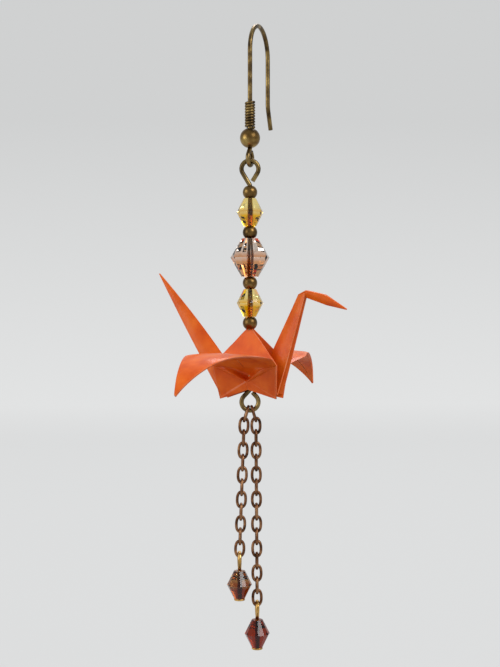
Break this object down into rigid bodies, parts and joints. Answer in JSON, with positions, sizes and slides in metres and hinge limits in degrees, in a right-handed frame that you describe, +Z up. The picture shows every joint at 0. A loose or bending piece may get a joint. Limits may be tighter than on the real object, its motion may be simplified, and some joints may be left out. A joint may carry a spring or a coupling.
{
  "type": "origami crane earring",
  "caption": "Folded paper crane strung on an eye pin under beads and an ear wire, with two fine chains hanging below it that end in faceted drop beads.",
  "frame": {"origin": "the underside of the top of the ear wire's hook, the point it hangs by", "axes": "+Z up along the hanging drop; the eye pin's loops lie in a plane along X; -Y is the front"},
  "size_m": [0.0287, 0.0355, 0.1001],
  "materials": {
    "folded_paper": "coral orange paper under a clear gloss coat",
    "antique_brass": "antiqued brass, dark in the recesses",
    "chain_brass": "antiqued copper brown",
    "head_pin_brass": "polished golden brass",
    "amber_glass": "faceted yellow glass, greyer towards the top",
    "champagne_glass": "faceted champagne glass",
    "topaz_glass": "faceted dark topaz glass"
  },
  "bodies": {
    "ear_wire": {"ear_wire": "antique_brass", "ear_wire_ball": "antique_brass", "ear_wire_coil": "antique_brass"},
    "drop": {"eye_pin": "antique_brass", "spacer_bead_1": "antique_brass", "yellow_bicone_upper": "amber_glass", "spacer_bead_2": "antique_brass", "champagne_bicone": "champagne_glass", "spacer_bead_3": "antique_brass", "yellow_bicone_lower": "amber_glass", "spacer_bead_4": "antique_brass", "crane": "folded_paper"},
    "short_chain": {"short_chain_link_01": "chain_brass", "short_chain_link_02": "chain_brass", "short_chain_link_03": "chain_brass", "short_chain_link_04": "chain_brass", "short_chain_link_05": "chain_brass", "short_chain_link_06": "chain_brass", "short_chain_link_07": "chain_brass", "short_chain_link_08": "chain_brass", "short_chain_link_09": "chain_brass", "short_chain_link_10": "chain_brass", "short_chain_link_11": "chain_brass", "short_chain_link_12": "chain_brass"},
    "short_drop": {"short_drop_head_pin": "head_pin_brass", "short_drop_bicone": "topaz_glass"},
    "long_chain": {"long_chain_link_01": "chain_brass", "long_chain_link_02": "chain_brass", "long_chain_link_03": "chain_brass", "long_chain_link_04": "chain_brass", "long_chain_link_05": "chain_brass", "long_chain_link_06": "chain_brass", "long_chain_link_07": "chain_brass", "long_chain_link_08": "chain_brass", "long_chain_link_09": "chain_brass", "long_chain_link_10": "chain_brass", "long_chain_link_11": "chain_brass", "long_chain_link_12": "chain_brass", "long_chain_link_13": "chain_brass", "long_chain_link_14": "chain_brass", "long_chain_link_15": "chain_brass", "long_chain_link_16": "chain_brass"},
    "long_drop": {"long_drop_head_pin": "head_pin_brass", "long_drop_bicone": "topaz_glass"}
  },
  "joints": [
    {"name": "drop_swing", "type": "hinge", "parent": "ear_wire", "child": "drop", "pos_m": [-0.00172, -0.00426, -0.02249], "axis": [0.3746, 0.9272, 0], "range_deg": [-25, 25]},
    {"name": "short_chain_swing", "type": "hinge", "parent": "drop", "child": "short_chain", "pos_m": [-0.00172, -0.00426, -0.06127], "axis": [1, 0, 0], "range_deg": [-45, 45]},
    {"name": "long_chain_swing", "type": "hinge", "parent": "drop", "child": "long_chain", "pos_m": [-0.00172, -0.00426, -0.06127], "axis": [1, 0, 0], "range_deg": [-45, 45]},
    {"name": "short_drop_swing", "type": "hinge", "parent": "short_chain", "child": "short_drop", "pos_m": [-0.00339, -0.00426, -0.08448], "axis": [1, 0, 0], "range_deg": [-40, 40]},
    {"name": "long_drop_swing", "type": "hinge", "parent": "long_chain", "child": "long_drop", "pos_m": [-0.00058, -0.00426, -0.09231], "axis": [1, 0, 0], "range_deg": [-40, 40]}
  ]
}
